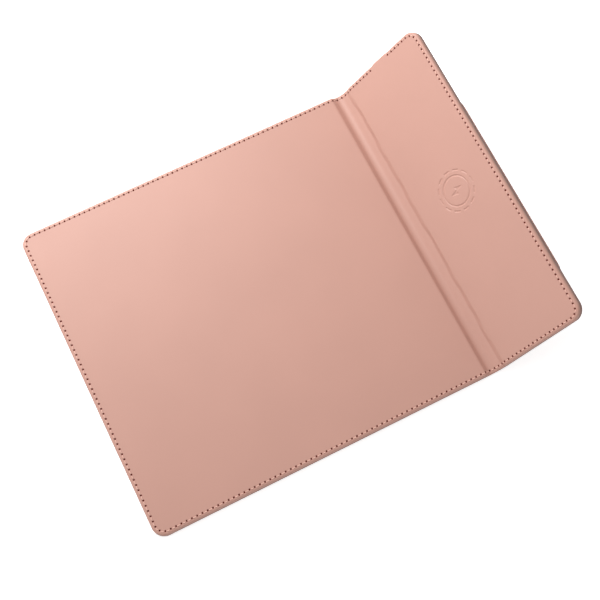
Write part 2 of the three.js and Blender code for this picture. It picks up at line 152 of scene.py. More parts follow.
# How finely the meshes are cut
COLUMNS_PER_STITCH, LEAF_COLUMNS = 10, 8
ROUND_STEPS = (0, 22.5, 45, 67.5)  # degrees round the edge
ROUND_SHARE = 0.75  # the most of the edge's height that the rounding takes
STRIP_INSET = 5.5  # the finely cut strip along the seam reaches this far in
MAT_ROWS = (1.5, 1.75, 1.98, 2.2, 2.4, 2.6, 2.82, 3.05, 3.4, 4.2, STRIP_INSET)  # in from the outline
LEAF_ROWS = (1.3, 1.55, 1.78, 2.0, 2.2, 2.4, 2.62, 2.85, 3.3)
STRIP_CLEARANCE = 1.2
CREASE_LINE_STEP, CREASE_REACH = 0.35, 10.5  # close lines over the creases, this far from the spine's middle
PANEL_ACROSS, FLAP_ACROSS = 3.0, 2.0  # the steps along those lines
COARSE_START, COARSE_SIDE = 3, 4
PANEL_COARSE, FLAP_COARSE, MARKED_COARSE = 14.0, 12.0, 9.0
LEAF_LINES, LEAF_ACROSS, LEAF_SIDE = np.arange(-4.0, 3.0, 0.3), 4.0, 6
THREAD_SIDES, THREAD_RINGS = 8, 11
SMALLEST_AREA = 1e-9
FAR_AWAY = 9.0

# Unevenness of the two creases: its size, its place past the padded edge or crease, and its spread
FAR_LIFT, LIFT_PLACE, LIFT_SPREAD = 0.25, 2.5, 1.5
LIFT_FULL = 0.8  # the lift is whole from this share of the half width on
WAVE_LIFT, WAVE_PLACE, WAVE_SPREAD = 0.15, 2.6, 1.8
WAVES = ((0.3, 7.3, 0.6), (0.2, 3.1, 2.1), (0.2, 15.7, 0))  # size, length and start

# The top leather's height over the spine: steeply down beside the panel's padded edge, low over the first
# half of the spine, and then up to the flap's padded edge in a long curve.
PROFILE = [
    (PANEL_EDGE - 0.8, THICKNESS),
    (PANEL_EDGE - 0.1, 4.74),
    (PANEL_EDGE + 0.6, 4.46),
    (PANEL_EDGE + 1.3, 3.84),
    (PANEL_EDGE + 2.0, 3.15),
    (PANEL_EDGE + 2.8, 2.46),
    (CREASE_A + 0.5, 1.98),
    (CREASE_A + 1.5, 1.78),
    (CREASE_A + 2.7, 1.77),
    (MID_SPINE - 0.3, 1.99),
    (MID_SPINE + 0.8, 2.24),
    (CREASE_B - 2.4, 2.55),
    (CREASE_B - 1.2, 2.93),
    (CREASE_B, 3.22),
    (CREASE_B + 1.2, 3.42),
    (CREASE_B + 2.0, 3.7),
    (CREASE_B + 2.8, 4.08),
    (CREASE_B + 3.6, 4.42),
    (CREASE_B + 4.4, 4.66),
    (CREASE_B + 5.4, THICKNESS),
]

# Looks of the leather and thread
ROSE = (0.464, 0.253, 0.203)
ROSE_UNDERSIDE = (0.43, 0.23, 0.18)
ROSE_THREAD = (0.64, 0.38, 0.31)
LEATHER_GLOSS = 0.37
# Edge paint on the cut edge, made darker to stand in for the shade on the side walls, fullest at the wall's foot.
EDGE_PAINT_AND_SHADE = (0.18, 0.09, 0.07)
EDGE_PAINT_AND_SHADE_SHARES = (1, 0.8, 0.05)  # of the edge paint and its painted shade, row by row from the edge's foot
# The dark red-brown of the needle holes is painted shade.
HOLE_SHADE_COLOUR = (0.1, 0.01, 0.006)
TONE_SCALE, TONE_SPREAD = 18, 0.015  # faint patches of tone
SHEEN_SCALE, SHEEN_SPREAD = 60, 0.03  # faint patches of roughness
GRAIN_SCALE, GRAIN_STRENGTH, GRAIN_DEPTH = 1500, 0.25, 0.00004  # fine cells
DENT_SCALE, DENT_STRENGTH, DENT_DEPTH = 160, 0.12, 0.0002  # wider, softer dents

# Light, in metres and watts
FILL = 0.51  # brightness of the white surroundings
FLOOR_GLOW = 0.6  # keeps the floor nearly white in the shadow
FLOOR_HALF, FLOOR_DROP = 4.0, 0.0003  # half its side, and how far it lies below the mat
LIGHTS = {  # name: place, side and power
    "key": ((-0.08, 0.5, 0.5), 0.4, 6.75),
    "side": ((-1.2, 0.35, 0.35), 0.5, 2.6),
    "low": ((0.1, -1.2, 0.22), 0.4, 2.5),
}
LIGHT_AIM = (0.04, 0, 0)

# Camera, in millimetres
CAMERA_PLACE = (-75.447, -201.7, 702.813)
CAMERA_AIM = (30.884, -9.296, 0)
CAMERA_ROLL = 2.394  # degrees
CAMERA_LENS = 70.433


# ---------- Small helpers ----------


def smoothstep(x, low, high):
    t = np.clip((x - low) / (high - low), 0, 1)
    return t * t * (3 - 2 * t)


def smooth_curve(knots, margin=40.0, step=0.02, width=0.35):
    """A curve through the knots with its corners rounded off, as a function."""
    xs, ys = np.array(knots, float).T
    fine = np.arange(xs[0] - margin, xs[-1] + margin, step)
    raw = np.interp(fine, xs, ys)
    reach = np.arange(-int(3 * width / step), int(3 * width / step) + 1) * step
    kernel = np.exp(-0.5 * (reach / width) ** 2)
    kernel /= kernel.sum()
    padded = np.pad(raw, len(reach) // 2, mode="edge")
    smooth = np.convolve(padded, kernel, mode="valid")
    return lambda s: np.interp(s, fine, smooth)


spine_profile = smooth_curve(PROFILE)


def bend(points, corners, origin, angle, neutral):
    """Flat points (s, y, h) bent along a path. The path passes origin = (s, x, z) at the given angle and
    turns at each corner (s, turn, reach to each side). The layer at height neutral keeps its length."""
    s, y, h = points.T
    s0, x0, z0 = origin
    x = x0 + (s - s0) * math.cos(angle)
    z = z0 + (s - s0) * math.sin(angle)
    heading = np.full(len(s), angle)
    ref_s, ref = s0, np.array([x0, z0])
    for at, turn, tangent in corners:
        direction = np.array([math.cos(angle), math.sin(angle)])
        start = ref + (at - tangent - ref_s) * direction
        radius = tangent / math.tan(turn / 2)
        f = np.clip((s - at + tangent) / (2 * tangent), 0, 1)
        turned = angle + turn * f
        after = np.maximum(s - at - tangent, 0)
        past = s > at - tangent
        arc_x = start[0] + radius * (np.sin(turned) - math.sin(angle))
        arc_z = start[1] - radius * (np.cos(turned) - math.cos(angle))
        x = np.where(past, arc_x + after * math.cos(angle + turn), x)
        z = np.where(past, arc_z + after * math.sin(angle + turn), z)
        heading = np.where(past, turned, heading)
        ref = ref + (at - ref_s) * direction
        ref_s = at
        angle += turn
    x = x - (h - neutral) * np.sin(heading)
    z = z + (h - neutral) * np.cos(heading)
    return np.column_stack([x, y, z])


def stand_mat(points):
    corners = [(CREASE_A, SPINE_ANGLE, BEND_A), (CREASE_B, FLAP_ANGLE - SPINE_ANGLE, BEND_B)]
    return bend(points, corners, (CREASE_A, *SPINE_AXIS), 0.0, NEUTRAL)


def vertex_normals(points, faces):
    """Normals of a mesh whose faces are triangles or quads, in one list each."""
    normals = np.zeros_like(points)
    for group in faces:
        if not len(group):
            continue
        a, b, c = (points[group[:, i]] for i in (0, 1, -1))
        face = np.cross(b - a, c - a)
        for i in range(group.shape[1]):
            np.add.at(normals, group[:, i], face)
    return normals / np.maximum(np.linalg.norm(normals, axis=1), 1e-12)[:, None]


def rim_edges(faces):
    """The edges that belong to one face only, in that face's direction."""
    pairs = np.vstack([np.column_stack([g[:, i], g[:, (i + 1) % g.shape[1]]])
                       for g in faces if len(g) for i in range(g.shape[1])])
    key = np.sort(pairs, axis=1)
    order = key[:, 0].astype(np.int64) * (key.max() + 1) + key[:, 1]
    _, first, count = np.unique(order, return_index=True, return_counts=True)
    return pairs[first[count == 1]]


def make_mesh(name, points, faces, material, attributes=None, sharp=60):
    """A smooth mesh from points in millimetres."""
    polygons = [tuple(f) for g in faces for f in np.asarray(g).tolist()]
    mesh = bpy.data.meshes.new(name)
    mesh.from_pydata((np.asarray(points) * MM).tolist(), [], polygons)
    mesh.validate()
    mesh.polygons.foreach_set("use_smooth", [True] * len(mesh.polygons))
    mesh.set_sharp_from_angle(angle=math.radians(sharp))
    for key, values in (attributes or {}).items():
        layer = mesh.attributes.new(key, "FLOAT", "POINT")
        layer.data.foreach_set("value", np.asarray(values, np.float32))
    mesh.materials.append(material)
    obj = bpy.data.objects.new(name, mesh)
    bpy.context.scene.collection.objects.link(obj)
    return obj


# ---------- Seam paths ----------


class Path:
    """A path in the flat plane made of straight and round stretches, with its outward side."""

    def __init__(self, stretches, closed=False):
        self.stretches = stretches
        self.length = sum(s["length"] for s in stretches)
        self.closed = closed

    def at(self, distances):
        """Points and outward normals at distances along the path."""
        d = np.asarray(distances, float)
        points, normals = np.zeros((len(d), 2)), np.zeros((len(d), 2))
        begin = 0.0
        for i, part in enumerate(self.stretches):
            end = begin + part["length"]
            last = i == len(self.stretches) - 1
            inside = (d >= begin) & ((d < end) | last)
            t = d[inside] - begin
            if "centre" in part:
                angle = part["from"] + t / part["radius"]
                n = np.column_stack([np.cos(angle), np.sin(angle)])
                points[inside] = part["centre"] + part["radius"] * n
                normals[inside] = n
            else:
                way = part["way"]
                points[inside] = part["start"] + t[:, None] * way
                normals[inside] = np.array([way[1], -way[0]])
            begin = end
        return points, normals


def straight(start, end):
    start, end = np.array(start, float), np.array(end, float)
    length = np.linalg.norm(end - start)
    return {"start": start, "way": (end - start) / length, "length": length}


def corner(centre, radius, start):
    return {"centre": np.array(centre, float), "radius": radius, "from": start,
            "length": radius * math.pi / 2}


def open_path(cut, end, half_width, outer_radius, inset):
    """From the cut on one long side, round two corners at the end, and back, anticlockwise from above."""
    r = outer_radius - inset
    side = half_width - inset
    facing = math.copysign(1, end - cut)
    c = end - facing * outer_radius
    cy = half_width - outer_radius
    tip = end - facing * inset
    if facing > 0:
        return Path([
            straight((cut, -side), (c, -side)), corner((c, -cy), r, -math.pi / 2),
            straight((tip, -cy), (tip, cy)), corner((c, cy), r, 0.0),
            straight((c, side), (cut, side))])
    return Path([
        straight((cut, side), (c, side)), corner((c, cy), r, math.pi / 2),
        straight((tip, cy), (tip, -cy)), corner((c, -cy), r, math.pi),
        straight((c, -side), (cut, -side))])


def closed_path(low, high, half_width, outer_radius, inset):
    r = outer_radius - inset
    side = half_width - inset
    a, b, cy = low + outer_radius, high - outer_radius, half_width - outer_radius
    return Path([
        straight((a, -side), (b, -side)), corner((b, -cy), r, -math.pi / 2),
        straight((high - inset, -cy), (high - inset, cy)), corner((b, cy), r, 0.0),
        straight((b, side), (a, side)), corner((a, cy), r, math.pi / 2),
        straight((low + inset, cy), (low + inset, -cy)), corner((a, -cy), r, math.pi)], closed=True)


# ---------- Sheets of leather ----------


def edge_rows(base, normal, inset, surface, side, join, rounding, rows_in):
    """Rows of points from the edge's foot, up the rounding and in over the face."""
    outline = base + normal * inset
    face = surface(*outline.T)
    foot = join(*outline.T)
    r = np.minimum(rounding, ROUND_SHARE * np.abs(face - foot))
    rows = [(outline, foot), (outline, (foot + face - side * r) / 2)]
    for degrees in ROUND_STEPS:
        a = math.radians(degrees)
        at = outline - normal * (r * (1 - math.cos(a)))[:, None]
        rows.append((at, face - side * r * (1 - math.sin(a))))
    at = outline - normal * r[:, None]
    rows.append((at, surface(*at.T)))
    for distance in rows_in:
        at = base + normal * (inset - distance)
        rows.append((at, surface(*at.T)))
    return np.vstack([np.column_stack([p, h]) for p, h in rows]), len(rows)


def strip_quads(rows, n, closed):
    """The quads between one row of n points and the next."""
    i = np.arange(n if closed else n - 1)
    j = (i + 1) % n
    return np.vstack([np.column_stack([row * n + i, row * n + j, (row + 1) * n + j, (row + 1) * n + i])
                      for row in range(rows - 1)])


def fill_middle(points, n, cut_points, interior, surface, side):
    """The sheet's middle, cut into triangles between the last row of n points, the cut's points, if the
    sheet has one, and the inner points."""
    first = len(points) - n
    loop = np.vstack([points[first:, :2], cut_points])
    corners = [Vector(p) for p in np.vstack([loop, interior]).tolist()]
    edges = [(i, (i + 1) % len(loop)) for i in range(len(loop))]
    verts, _, tris, origins, *_ = delaunay_2d_cdt(corners, edges, [], 1, 1e-7)
    index = np.full(len(verts), -1)
    new = []
    for k, origin in enumerate(origins):
        if origin and origin[0] < n:
            index[k] = first + origin[0]
        else:
            index[k] = len(points) + len(new)
            new.append((verts[k][0], verts[k][1]))
    if new:
        new = np.array(new)
        points = np.vstack([points, np.column_stack([new, surface(*new.T)])])
    triangles = index[np.array(tris, int)]
    a, b, c = (points[triangles[:, i], :2] for i in range(3))
    area = (b[:, 0] - a[:, 0]) * (c[:, 1] - a[:, 1]) - (b[:, 1] - a[:, 1]) * (c[:, 0] - a[:, 0])
    solid = np.abs(area) > SMALLEST_AREA
    triangles, area = triangles[solid], area[solid]
    flip = area * side < 0
    triangles[flip] = triangles[flip][:, ::-1]
    return points, triangles


def sheet(path, inset, pitch, surface, side, join, rounding, hole_centres, interior, depth_map=None,
          rows_in=MAT_ROWS, thickness=LEATHER, cut_points=NO_POINTS, columns=COLUMNS_PER_STITCH):
    """A leather sheet with a rounded edge, needle holes and a real thickness, in flat coordinates.

    side is 1 for a face that looks up and -1 for one that looks down. surface(s, y) is that face's height,
    and join(s, y) the height where the edge ends. Returns points, faces and the shares of each point that
    get the needle holes' painted shade and the edge paint with its painted shade on the side walls."""
    d = np.linspace(0, path.length, round(path.length / pitch) * columns + 1)
    if path.closed:
        d = d[:-1]
    n = len(d)
    points, rows = edge_rows(*path.at(d), inset, surface, side, join, rounding, rows_in)
    quads = strip_quads(rows, n, path.closed)
    points, triangles = fill_middle(points, n, cut_points, interior, surface, side)
    if side < 0:
        quads = quads[:, ::-1]

    normals = vertex_normals(points, [quads, triangles])
    inner = points - thickness * normals
    # share is the painted shade in the needle holes.
    share, press = press_holes(points, hole_centres)
    press[:2 * n] = 0  # the side wall stays straight
    if depth_map is not None:
        press = press + depth_map(*points[:, :2].T)
    outer = points - normals * press[:, None]

    total = len(points)
    edge = np.zeros(2 * total)
    # The edge paint with painted shade covers the side wall, fullest at its foot.
    edge[:len(EDGE_PAINT_AND_SHADE_SHARES) * n] = np.repeat(EDGE_PAINT_AND_SHADE_SHARES, n)
    rim = rim_edges([quads, triangles])
    walls = np.column_stack([rim[:, 1], rim[:, 0], rim[:, 0] + total, rim[:, 1] + total])
    faces = [quads, triangles, quads[:, ::-1] + total, triangles[:, ::-1] + total, walls]
    shares = {"hole": np.concatenate([share, np.zeros(total)]), "edge": edge}
    return np.vstack([outer, inner]), faces, shares


def press_holes(points, centres):
    """How much painted shade and how deep the sheet is at each point near a needle hole, with a slight rim round
    it.
    """
    centres = centres[np.argsort(centres[:, 0])]
    low = np.searchsorted(centres[:, 0], points[:, 0] - HOLE_SEARCH)
    high = np.searchsorted(centres[:, 0], points[:, 0] + HOLE_SEARCH)
    near = np.full(len(points), FAR_AWAY)
    for k in range(int((high - low).max(initial=0))):
        i = low + k
        gap = centres[np.minimum(i, len(centres) - 1)] - points[:, :2]
        near = np.where(i < high, np.minimum(near, np.hypot(gap[:, 0], gap[:, 1])), near)
    depth = HOLE_DEPTH * (1 - smoothstep(near, HOLE_FLOOR, HOLE_RADIUS))
    depth -= RIM_LIFT * np.exp(-(((near - HOLE_RADIUS - RIM_OUT) / RIM_SPREAD) ** 2))
    return 1 - smoothstep(near, *HOLE_SHADE_REACH), depth


def hole_places(path, pitch, skip=None):
    """The needle holes along a path, and which of them are there."""
    d = np.linspace(0, path.length, round(path.length / pitch) + 1)
    if path.closed:
        d = d[:-1]
    points, _ = path.at(d)
    keep = np.ones(len(d), bool) if skip is None else ~skip(points)
    return points, keep


def lattice(s_values, y_values, keep=None):
    s, y = np.meshgrid(s_values, y_values)
    points = np.column_stack([s.ravel(), y.ravel()])
    return points if keep is None else points[keep(points)]


# ---------- Stitches ----------


def stitches(path, pitch, keep, surface, side, sink, lift):
    """Thread tubes in flat coordinates, one from each needle hole to the next."""
    count = round(path.length / pitch)
    step = path.length / count
    points, quads, caps = [], [], []
    t = np.linspace(0, 1, THREAD_RINGS)
    arch = np.clip(np.sin(math.pi * t), 0, 1) ** THREAD_ARCH
    for i in range(count):
        if not (keep[i] and keep[(i + 1) % len(keep)]):
            continue
        along = i * step + THREAD_REACH + t * (step - 2 * THREAD_REACH)
        place, normal = path.at(along)
        place = place + normal * (THREAD_OUT * np.sin(math.pi * t))[:, None]
        height = surface(place[:, 0], place[:, 1]) + side * (-sink + (sink + lift) * arch)
        begin = len(points) * THREAD_RINGS * THREAD_SIDES
        angle = 2 * math.pi * np.arange(THREAD_SIDES) / THREAD_SIDES
        ply = 1 + PLY_DEPTH * np.cos(2 * (angle[None, :] - PLY_TWIST * math.pi * t[:, None]))
        across = THREAD_RADIUS * ply * np.cos(angle)[None, :]
        up = THREAD_RADIUS * ply * np.sin(angle)[None, :]
        ring_s = place[:, None, 0] + normal[:, None, 0] * across
        ring_y = place[:, None, 1] + normal[:, None, 1] * across
        ring_h = height[:, None] + up
        points.append(np.stack([ring_s, ring_y, ring_h], axis=2).reshape(-1, 3))
        ring, k = np.meshgrid(np.arange(THREAD_RINGS - 1), np.arange(THREAD_SIDES), indexing="ij")
        k2 = (k + 1) % THREAD_SIDES
        a = begin + ring * THREAD_SIDES + k
        b = begin + ring * THREAD_SIDES + k2
        quads.append(np.stack([a, a + THREAD_SIDES, b + THREAD_SIDES, b], axis=2).reshape(-1, 4))
        first = begin + np.arange(THREAD_SIDES)
        caps.append(first)
        caps.append((first + (THREAD_RINGS - 1) * THREAD_SIDES)[::-1])
    return np.vstack(points), [np.vstack(quads), np.array(caps)]


# ---------- Materials ----------


def new_material(name):
    material = bpy.data.materials.new(name)
    material.use_nodes = True
    tree = material.node_tree
    return material, tree, tree.nodes["Principled BSDF"]


def object_place(tree):
    return tree.nodes.new("ShaderNodeTexCoord").outputs["Object"]


def noise(tree, scale, detail=3.0):
    node = tree.nodes.new("ShaderNodeTexNoise")
    node.inputs["Scale"].default_value = scale
    node.inputs["Detail"].default_value = detail
    tree.links.new(object_place(tree), node.inputs["Vector"])
    return node


def ramp(tree, source, low, high, at=(0.0, 1.0)):
    node = tree.nodes.new("ShaderNodeValToRGB")
    node.color_ramp.elements[0].position, node.color_ramp.elements[1].position = at
    node.color_ramp.elements[0].color = (*low, 1)
    node.color_ramp.elements[1].color = (*high, 1)
    tree.links.new(source, node.inputs["Fac"])
    return node


def bump(tree, source, strength, distance, before=None):
    node = tree.nodes.new("ShaderNodeBump")
    node.inputs["Strength"].default_value = strength
    node.inputs["Distance"].default_value = distance
    tree.links.new(source, node.inputs["Height"])
    if before is not None:
        tree.links.new(before.outputs["Normal"], node.inputs["Normal"])
    return node


def scaled(colour, share):
    return tuple(c * share for c in colour)


def mixed(tree, attribute, colour, other, grey=0):
    """The colour, or an even grey, turned to the other where the attribute is 1."""
    share = tree.nodes.new("ShaderNodeAttribute")
    share.attribute_name = attribute
    mix = tree.nodes.new("ShaderNodeMix")
    mix.data_type = "RGBA"
    tree.links.new(share.outputs["Fac"], mix.inputs["Factor"])
    mix.inputs["A"].default_value = (grey, grey, grey, 1)
    if colour:
        tree.links.new(colour, mix.inputs["A"])
    mix.inputs["B"].default_value = (*other, 1)
    return mix.outputs["Result"]


def leather(name, colour, roughness):
    """Fine-grained coated leather: a small cell pattern with faint changes of tone. Its cut edge gets edge paint,
    made darker as painted shade on the side walls, and its needle holes get painted shade and no gloss."""
    material, tree, shader = new_material(name)
    field = noise(tree, TONE_SCALE, 2).outputs["Fac"]
    tone = ramp(tree, field, scaled(colour, 1 - TONE_SPREAD), scaled(colour, 1 + TONE_SPREAD), (0.35, 0.65))
    # Edge paint, darkened further as painted shade on the side walls.
    result = mixed(tree, "edge", tone.outputs["Color"], EDGE_PAINT_AND_SHADE)
    # Painted shade in the needle holes.
    result = mixed(tree, "hole", result, HOLE_SHADE_COLOUR)
    tree.links.new(result, shader.inputs["Base Color"])
    # The needle holes lose their gloss along with the painted shade.
    gloss = mixed(tree, "hole", None, (0, 0, 0), LEATHER_GLOSS)
    tree.links.new(gloss, shader.inputs["Specular IOR Level"])
    cells = tree.nodes.new("ShaderNodeTexVoronoi")
    cells.feature = "DISTANCE_TO_EDGE"
    cells.inputs["Scale"].default_value = GRAIN_SCALE
    tree.links.new(object_place(tree), cells.inputs["Vector"])
    grain = bump(tree, cells.outputs["Distance"], GRAIN_STRENGTH, GRAIN_DEPTH)
    dents = noise(tree, DENT_SCALE, 2).outputs["Fac"]
    soft = bump(tree, dents, DENT_STRENGTH, DENT_DEPTH, grain)
    tree.links.new(soft.outputs["Normal"], shader.inputs["Normal"])
    sheen = noise(tree, SHEEN_SCALE, 3).outputs["Fac"]
    spread = ramp(tree, sheen, (roughness - SHEEN_SPREAD,) * 3, (roughness + SHEEN_SPREAD,) * 3)
    tree.links.new(spread.outputs["Color"], shader.inputs["Roughness"])
    return material


def plain(name, colour, roughness, metallic=0.0, scale=300.0, spread=0.06, depth=0.0, coat=0.0):
    """A material with a faint grain in its tone, and a fine roughness when depth is given."""
    material, tree, shader = new_material(name)
    field = noise(tree, scale, 4).outputs["Fac"]
    tone = ramp(tree, field, scaled(colour, 1 - spread), scaled(colour, 1 + spread), (0.3, 0.7))
    tree.links.new(tone.outputs["Color"], shader.inputs["Base Color"])
    shader.inputs["Roughness"].default_value = roughness
    shader.inputs["Metallic"].default_value = metallic
    shader.inputs["Coat Weight"].default_value = coat
    if depth:
        tree.links.new(bump(tree, field, 0.5, depth).outputs["Normal"], shader.inputs["Normal"])
    return material


LEATHER_TOP = leather("rose_leather", ROSE, 0.48)
LEATHER_BASE = leather("rose_leather_underside", ROSE_UNDERSIDE, 0.62)
THREAD = plain("rose_thread", ROSE_THREAD, 0.75, scale=2500, spread=0.15, depth=0.00005)

SLOT_MATERIALS = {
    "leather_top": LEATHER_TOP,
    "leather_base": LEATHER_BASE,
    "thread": THREAD,
    "fibreboard": plain("fibreboard", (0.26, 0.19, 0.12), 0.9, scale=700, spread=0.3, depth=0.0001),
    "foam": plain("foam_sheet", (0.8, 0.76, 0.68), 0.95, scale=2500, spread=0.08, depth=0.0001),
    "black_plastic": plain("black_plastic", (0.012, 0.012, 0.014), 0.45, scale=1500, depth=0.00002),
    "white_plastic": plain("white_plastic", (0.78, 0.78, 0.75), 0.5, scale=400, spread=0.03),
    "chip": plain("chip_package", (0.02, 0.02, 0.023), 0.6, scale=3000, spread=0.2, depth=0.00002),
    "ferrite": plain("ferrite_sheet", (0.035, 0.032, 0.032), 0.7, scale=1200, spread=0.25, depth=0.00003),
    "copper": plain("enamelled_copper", (0.72, 0.28, 0.1), 0.3, metallic=1.0, scale=500, coat=0.4),
    "circuit": plain("solder_mask", (0.01, 0.12, 0.045), 0.35, scale=900, spread=0.12, coat=0.3),
    "ceramic": plain("fired_ceramic", (0.42, 0.3, 0.17), 0.45, scale=1500, spread=0.1),
    "steel": plain("brushed_steel", (0.6, 0.6, 0.62), 0.32, metallic=1.0, scale=900, spread=0.08),
    "magnet": plain("plated_magnet", (0.66, 0.66, 0.68), 0.2, metallic=1.0, scale=600, spread=0.04),
}


# ---------- Building the mat ----------


def wave(s, y):
    """The foot of the flap's padded edge isn't quite straight."""
    along = np.exp(-(((s - CREASE_B - WAVE_PLACE) / WAVE_SPREAD) ** 2))
    return along * sum(size * np.sin(y / length + start) for size, length, start in WAVES)


def far_lift(s, y):
    """The first crease is a little shallower towards the far side."""
    along = np.exp(-(((s - PANEL_EDGE - LIFT_PLACE) / LIFT_SPREAD) ** 2))
    return FAR_LIFT * along * smoothstep(y, 0, LIFT_FULL * HALF_WIDTH)


def top_surface(s, y):
    shift = wave(s, y)
    return spine_profile(s + shift) + WAVE_LIFT * shift + far_lift(s, y)


def under_surface(s, y):
    return np.zeros(np.shape(s))


def top_join(s, y):
    """The top leather's edge ends low down, and above the port's trim at the port."""
    at_port = (s > PORT[0] - PORT_CLEARANCE) & (s < PORT[1] + PORT_CLEARANCE) & (y > 0)
    return np.where(at_port, THICKNESS - LEATHER, JOIN_HEIGHT)


def under_join(s, y):
    return np.full(np.shape(s), JOIN_HEIGHT - JOIN_GAP)


def in_port_gap(points):
    return (np.abs(points[:, 0] - PORT_MIDDLE) < PORT_GAP / 2) & (points[:, 1] > 0)


def polygon_distance(points, polygon):
    """Distance to a polygon's edge, negative inside."""
    best = np.full(len(points), FAR_AWAY)
    inside = np.zeros(len(points), bool)
    for a, b in zip(polygon, np.roll(polygon, -1, axis=0)):
        ab, ap = b - a, points - a
        t = np.clip((ap @ ab) / (ab @ ab), 0, 1)
        best = np.minimum(best, np.linalg.norm(ap - t[:, None] * ab, axis=1))
        crosses = (a[1] > points[:, 1]) != (b[1] > points[:, 1])
        slope = np.where(crosses, (points[:, 1] - a[1]) / np.where(b[1] == a[1], 1, b[1] - a[1]), 0)
        inside ^= crosses & (points[:, 0] < a[0] + slope * ab[0])
    return np.where(inside, -best, best)


def mark_depth(s, y):
    """How deep the charging mark is pressed in: a ring, a ring of dashes and a bolt."""
    x, y = s - MARK_MIDDLE[0], y - MARK_MIDDLE[1]
    r, a = np.hypot(x, y), np.arctan2(y, x)
    ring = np.abs(r - MARK_RING) - MARK_LINE / 2
    pitch = 2 * math.pi / MARK_COUNT
    off = np.abs((a + pitch / 2) % pitch - pitch / 2) - pitch * MARK_SHARE / 2
    dash = np.maximum(np.abs(r - MARK_DASHES) - MARK_LINE / 2, off * MARK_DASHES)
    bolt = np.full(np.shape(r), FAR_AWAY)
    near = r < BOLT_REACH
    bolt[near] = polygon_distance(np.column_stack([x[near], y[near]]), MARK_BOLT)
    distance = np.minimum(np.minimum(ring, dash), bolt)
    return MARK_DEPTH * (1 - smoothstep(distance, -MARK_SOFTNESS, MARK_SOFTNESS))


def cut_line(forward):
    """Points on the line where the two halves of the leather meet, between the two seam strips."""
    side = HALF_WIDTH - STRIP_INSET
    y = np.linspace(-side, side, int(2 * side / PANEL_ACROSS) + 1)[1:-1]
    return np.column_stack([np.full(len(y), MID_SPINE), y if forward else y[::-1]])


def inner_points(end, across, coarse):
    """Points for the middle of a half: close lines over the crease, and a coarse grid elsewhere."""
    facing = math.copysign(1, end - MID_SPINE)
    side = HALF_WIDTH - STRIP_INSET - STRIP_CLEARANCE
    reach = MID_SPINE + facing * CREASE_REACH
    lines = np.arange(MID_SPINE + facing * CREASE_LINE_STEP, reach, facing * CREASE_LINE_STEP)
    near = lattice(lines, np.arange(-side, side, across))
    first, last = reach + facing * COARSE_START, end - facing * (STRIP_INSET + COARSE_START)
    far = lattice(np.arange(first, last, facing * coarse),
                  np.arange(COARSE_SIDE - side, side - COARSE_SIDE + 1, coarse))
    return np.vstack([near, far])


PANEL_PATH = open_path(MID_SPINE, PANEL_END, HALF_WIDTH, CORNER_RADIUS, STITCH_INSET)
FLAP_PATH = open_path(MID_SPINE, FLAP_END, HALF_WIDTH, CORNER_RADIUS, STITCH_INSET)
PANEL_HOLES, PANEL_KEEP = hole_places(PANEL_PATH, PANEL_PITCH)
FLAP_HOLES, FLAP_KEEP = hole_places(FLAP_PATH, FLAP_PITCH, in_port_gap)
ALL_HOLES = np.vstack([PANEL_HOLES, FLAP_HOLES[FLAP_KEEP]])


def marked_points():
    """The flap's inner points, with a fine grid where the mark is."""
    base = inner_points(FLAP_END, FLAP_ACROSS, MARKED_COARSE)
    clear = np.hypot(*(base - MARK_MIDDLE).T) > MARK_REACH + MARK_CLEARANCE
    grid = np.arange(-MARK_REACH, MARK_REACH, MARK_POINT_STEP)
    mark = lattice(grid, grid, lambda p: np.hypot(*p.T) < MARK_REACH) + MARK_MIDDLE
    return np.vstack([base[clear], mark])


def finish_piece(obj, replaced):
    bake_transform(obj)
    if replaced:
        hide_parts(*replaced)
    return obj


def build_top(half, path, pitch, interior, replaced, depth_map=None):
    points, faces, shares = sheet(path, STITCH_INSET, pitch, top_surface, 1, top_join, ROUNDING, ALL_HOLES,
                                  interior, depth_map, cut_points=cut_line(half == "panel"))
    obj = make_mesh(f"{half}_leather", stand_mat(points), faces, LEATHER_TOP, shares)
    return finish_piece(obj, replaced)


def build_under(half, path, pitch, interior, replaced):
    points, faces, shares = sheet(path, STITCH_INSET, pitch, under_surface, -1, under_join, UNDER_ROUNDING,
                                  ALL_HOLES, interior, groove, cut_points=cut_line(half == "panel"))
    obj = make_mesh(f"{half}_underside", stand_mat(points), faces, LEATHER_BASE, shares)
    return finish_piece(obj, replaced)


def seam_distance(s, y):
    """Distance from the seam line that runs round the whole mat."""
    half_length = (FLAP_END - PANEL_END) / 2
    centre = (FLAP_END + PANEL_END) / 2
    qx = np.abs(s - centre) - (half_length - CORNER_RADIUS)
    qy = np.abs(y) - (HALF_WIDTH - CORNER_RADIUS)
    outside = np.hypot(np.maximum(qx, 0), np.maximum(qy, 0)) + np.minimum(np.maximum(qx, qy), 0)
    return np.abs(outside - CORNER_RADIUS + STITCH_INSET)


def groove(s, y):
    """The groove the underside's seam lies in."""
    return GROOVE_DEPTH * (1 - smoothstep(seam_distance(s, y), *GROOVE_EDGE))


def joined(over, under):
    """Two meshes as one."""
    offset = len(over[0])
    return np.vstack([over[0], under[0]]), over[1] + [g + offset for g in under[1]]


def build_threads(half, path, pitch, keep, replaced):
    points, faces = joined(stitches(path, pitch, keep, top_surface, 1, TOP_SINK, TOP_LIFT),
                           stitches(path, pitch, keep, under_surface, -1, UNDER_SINK, UNDER_LIFT))
    obj = make_mesh(f"{half}_thread", stand_mat(points), faces, THREAD)
    return finish_piece(obj, replaced)


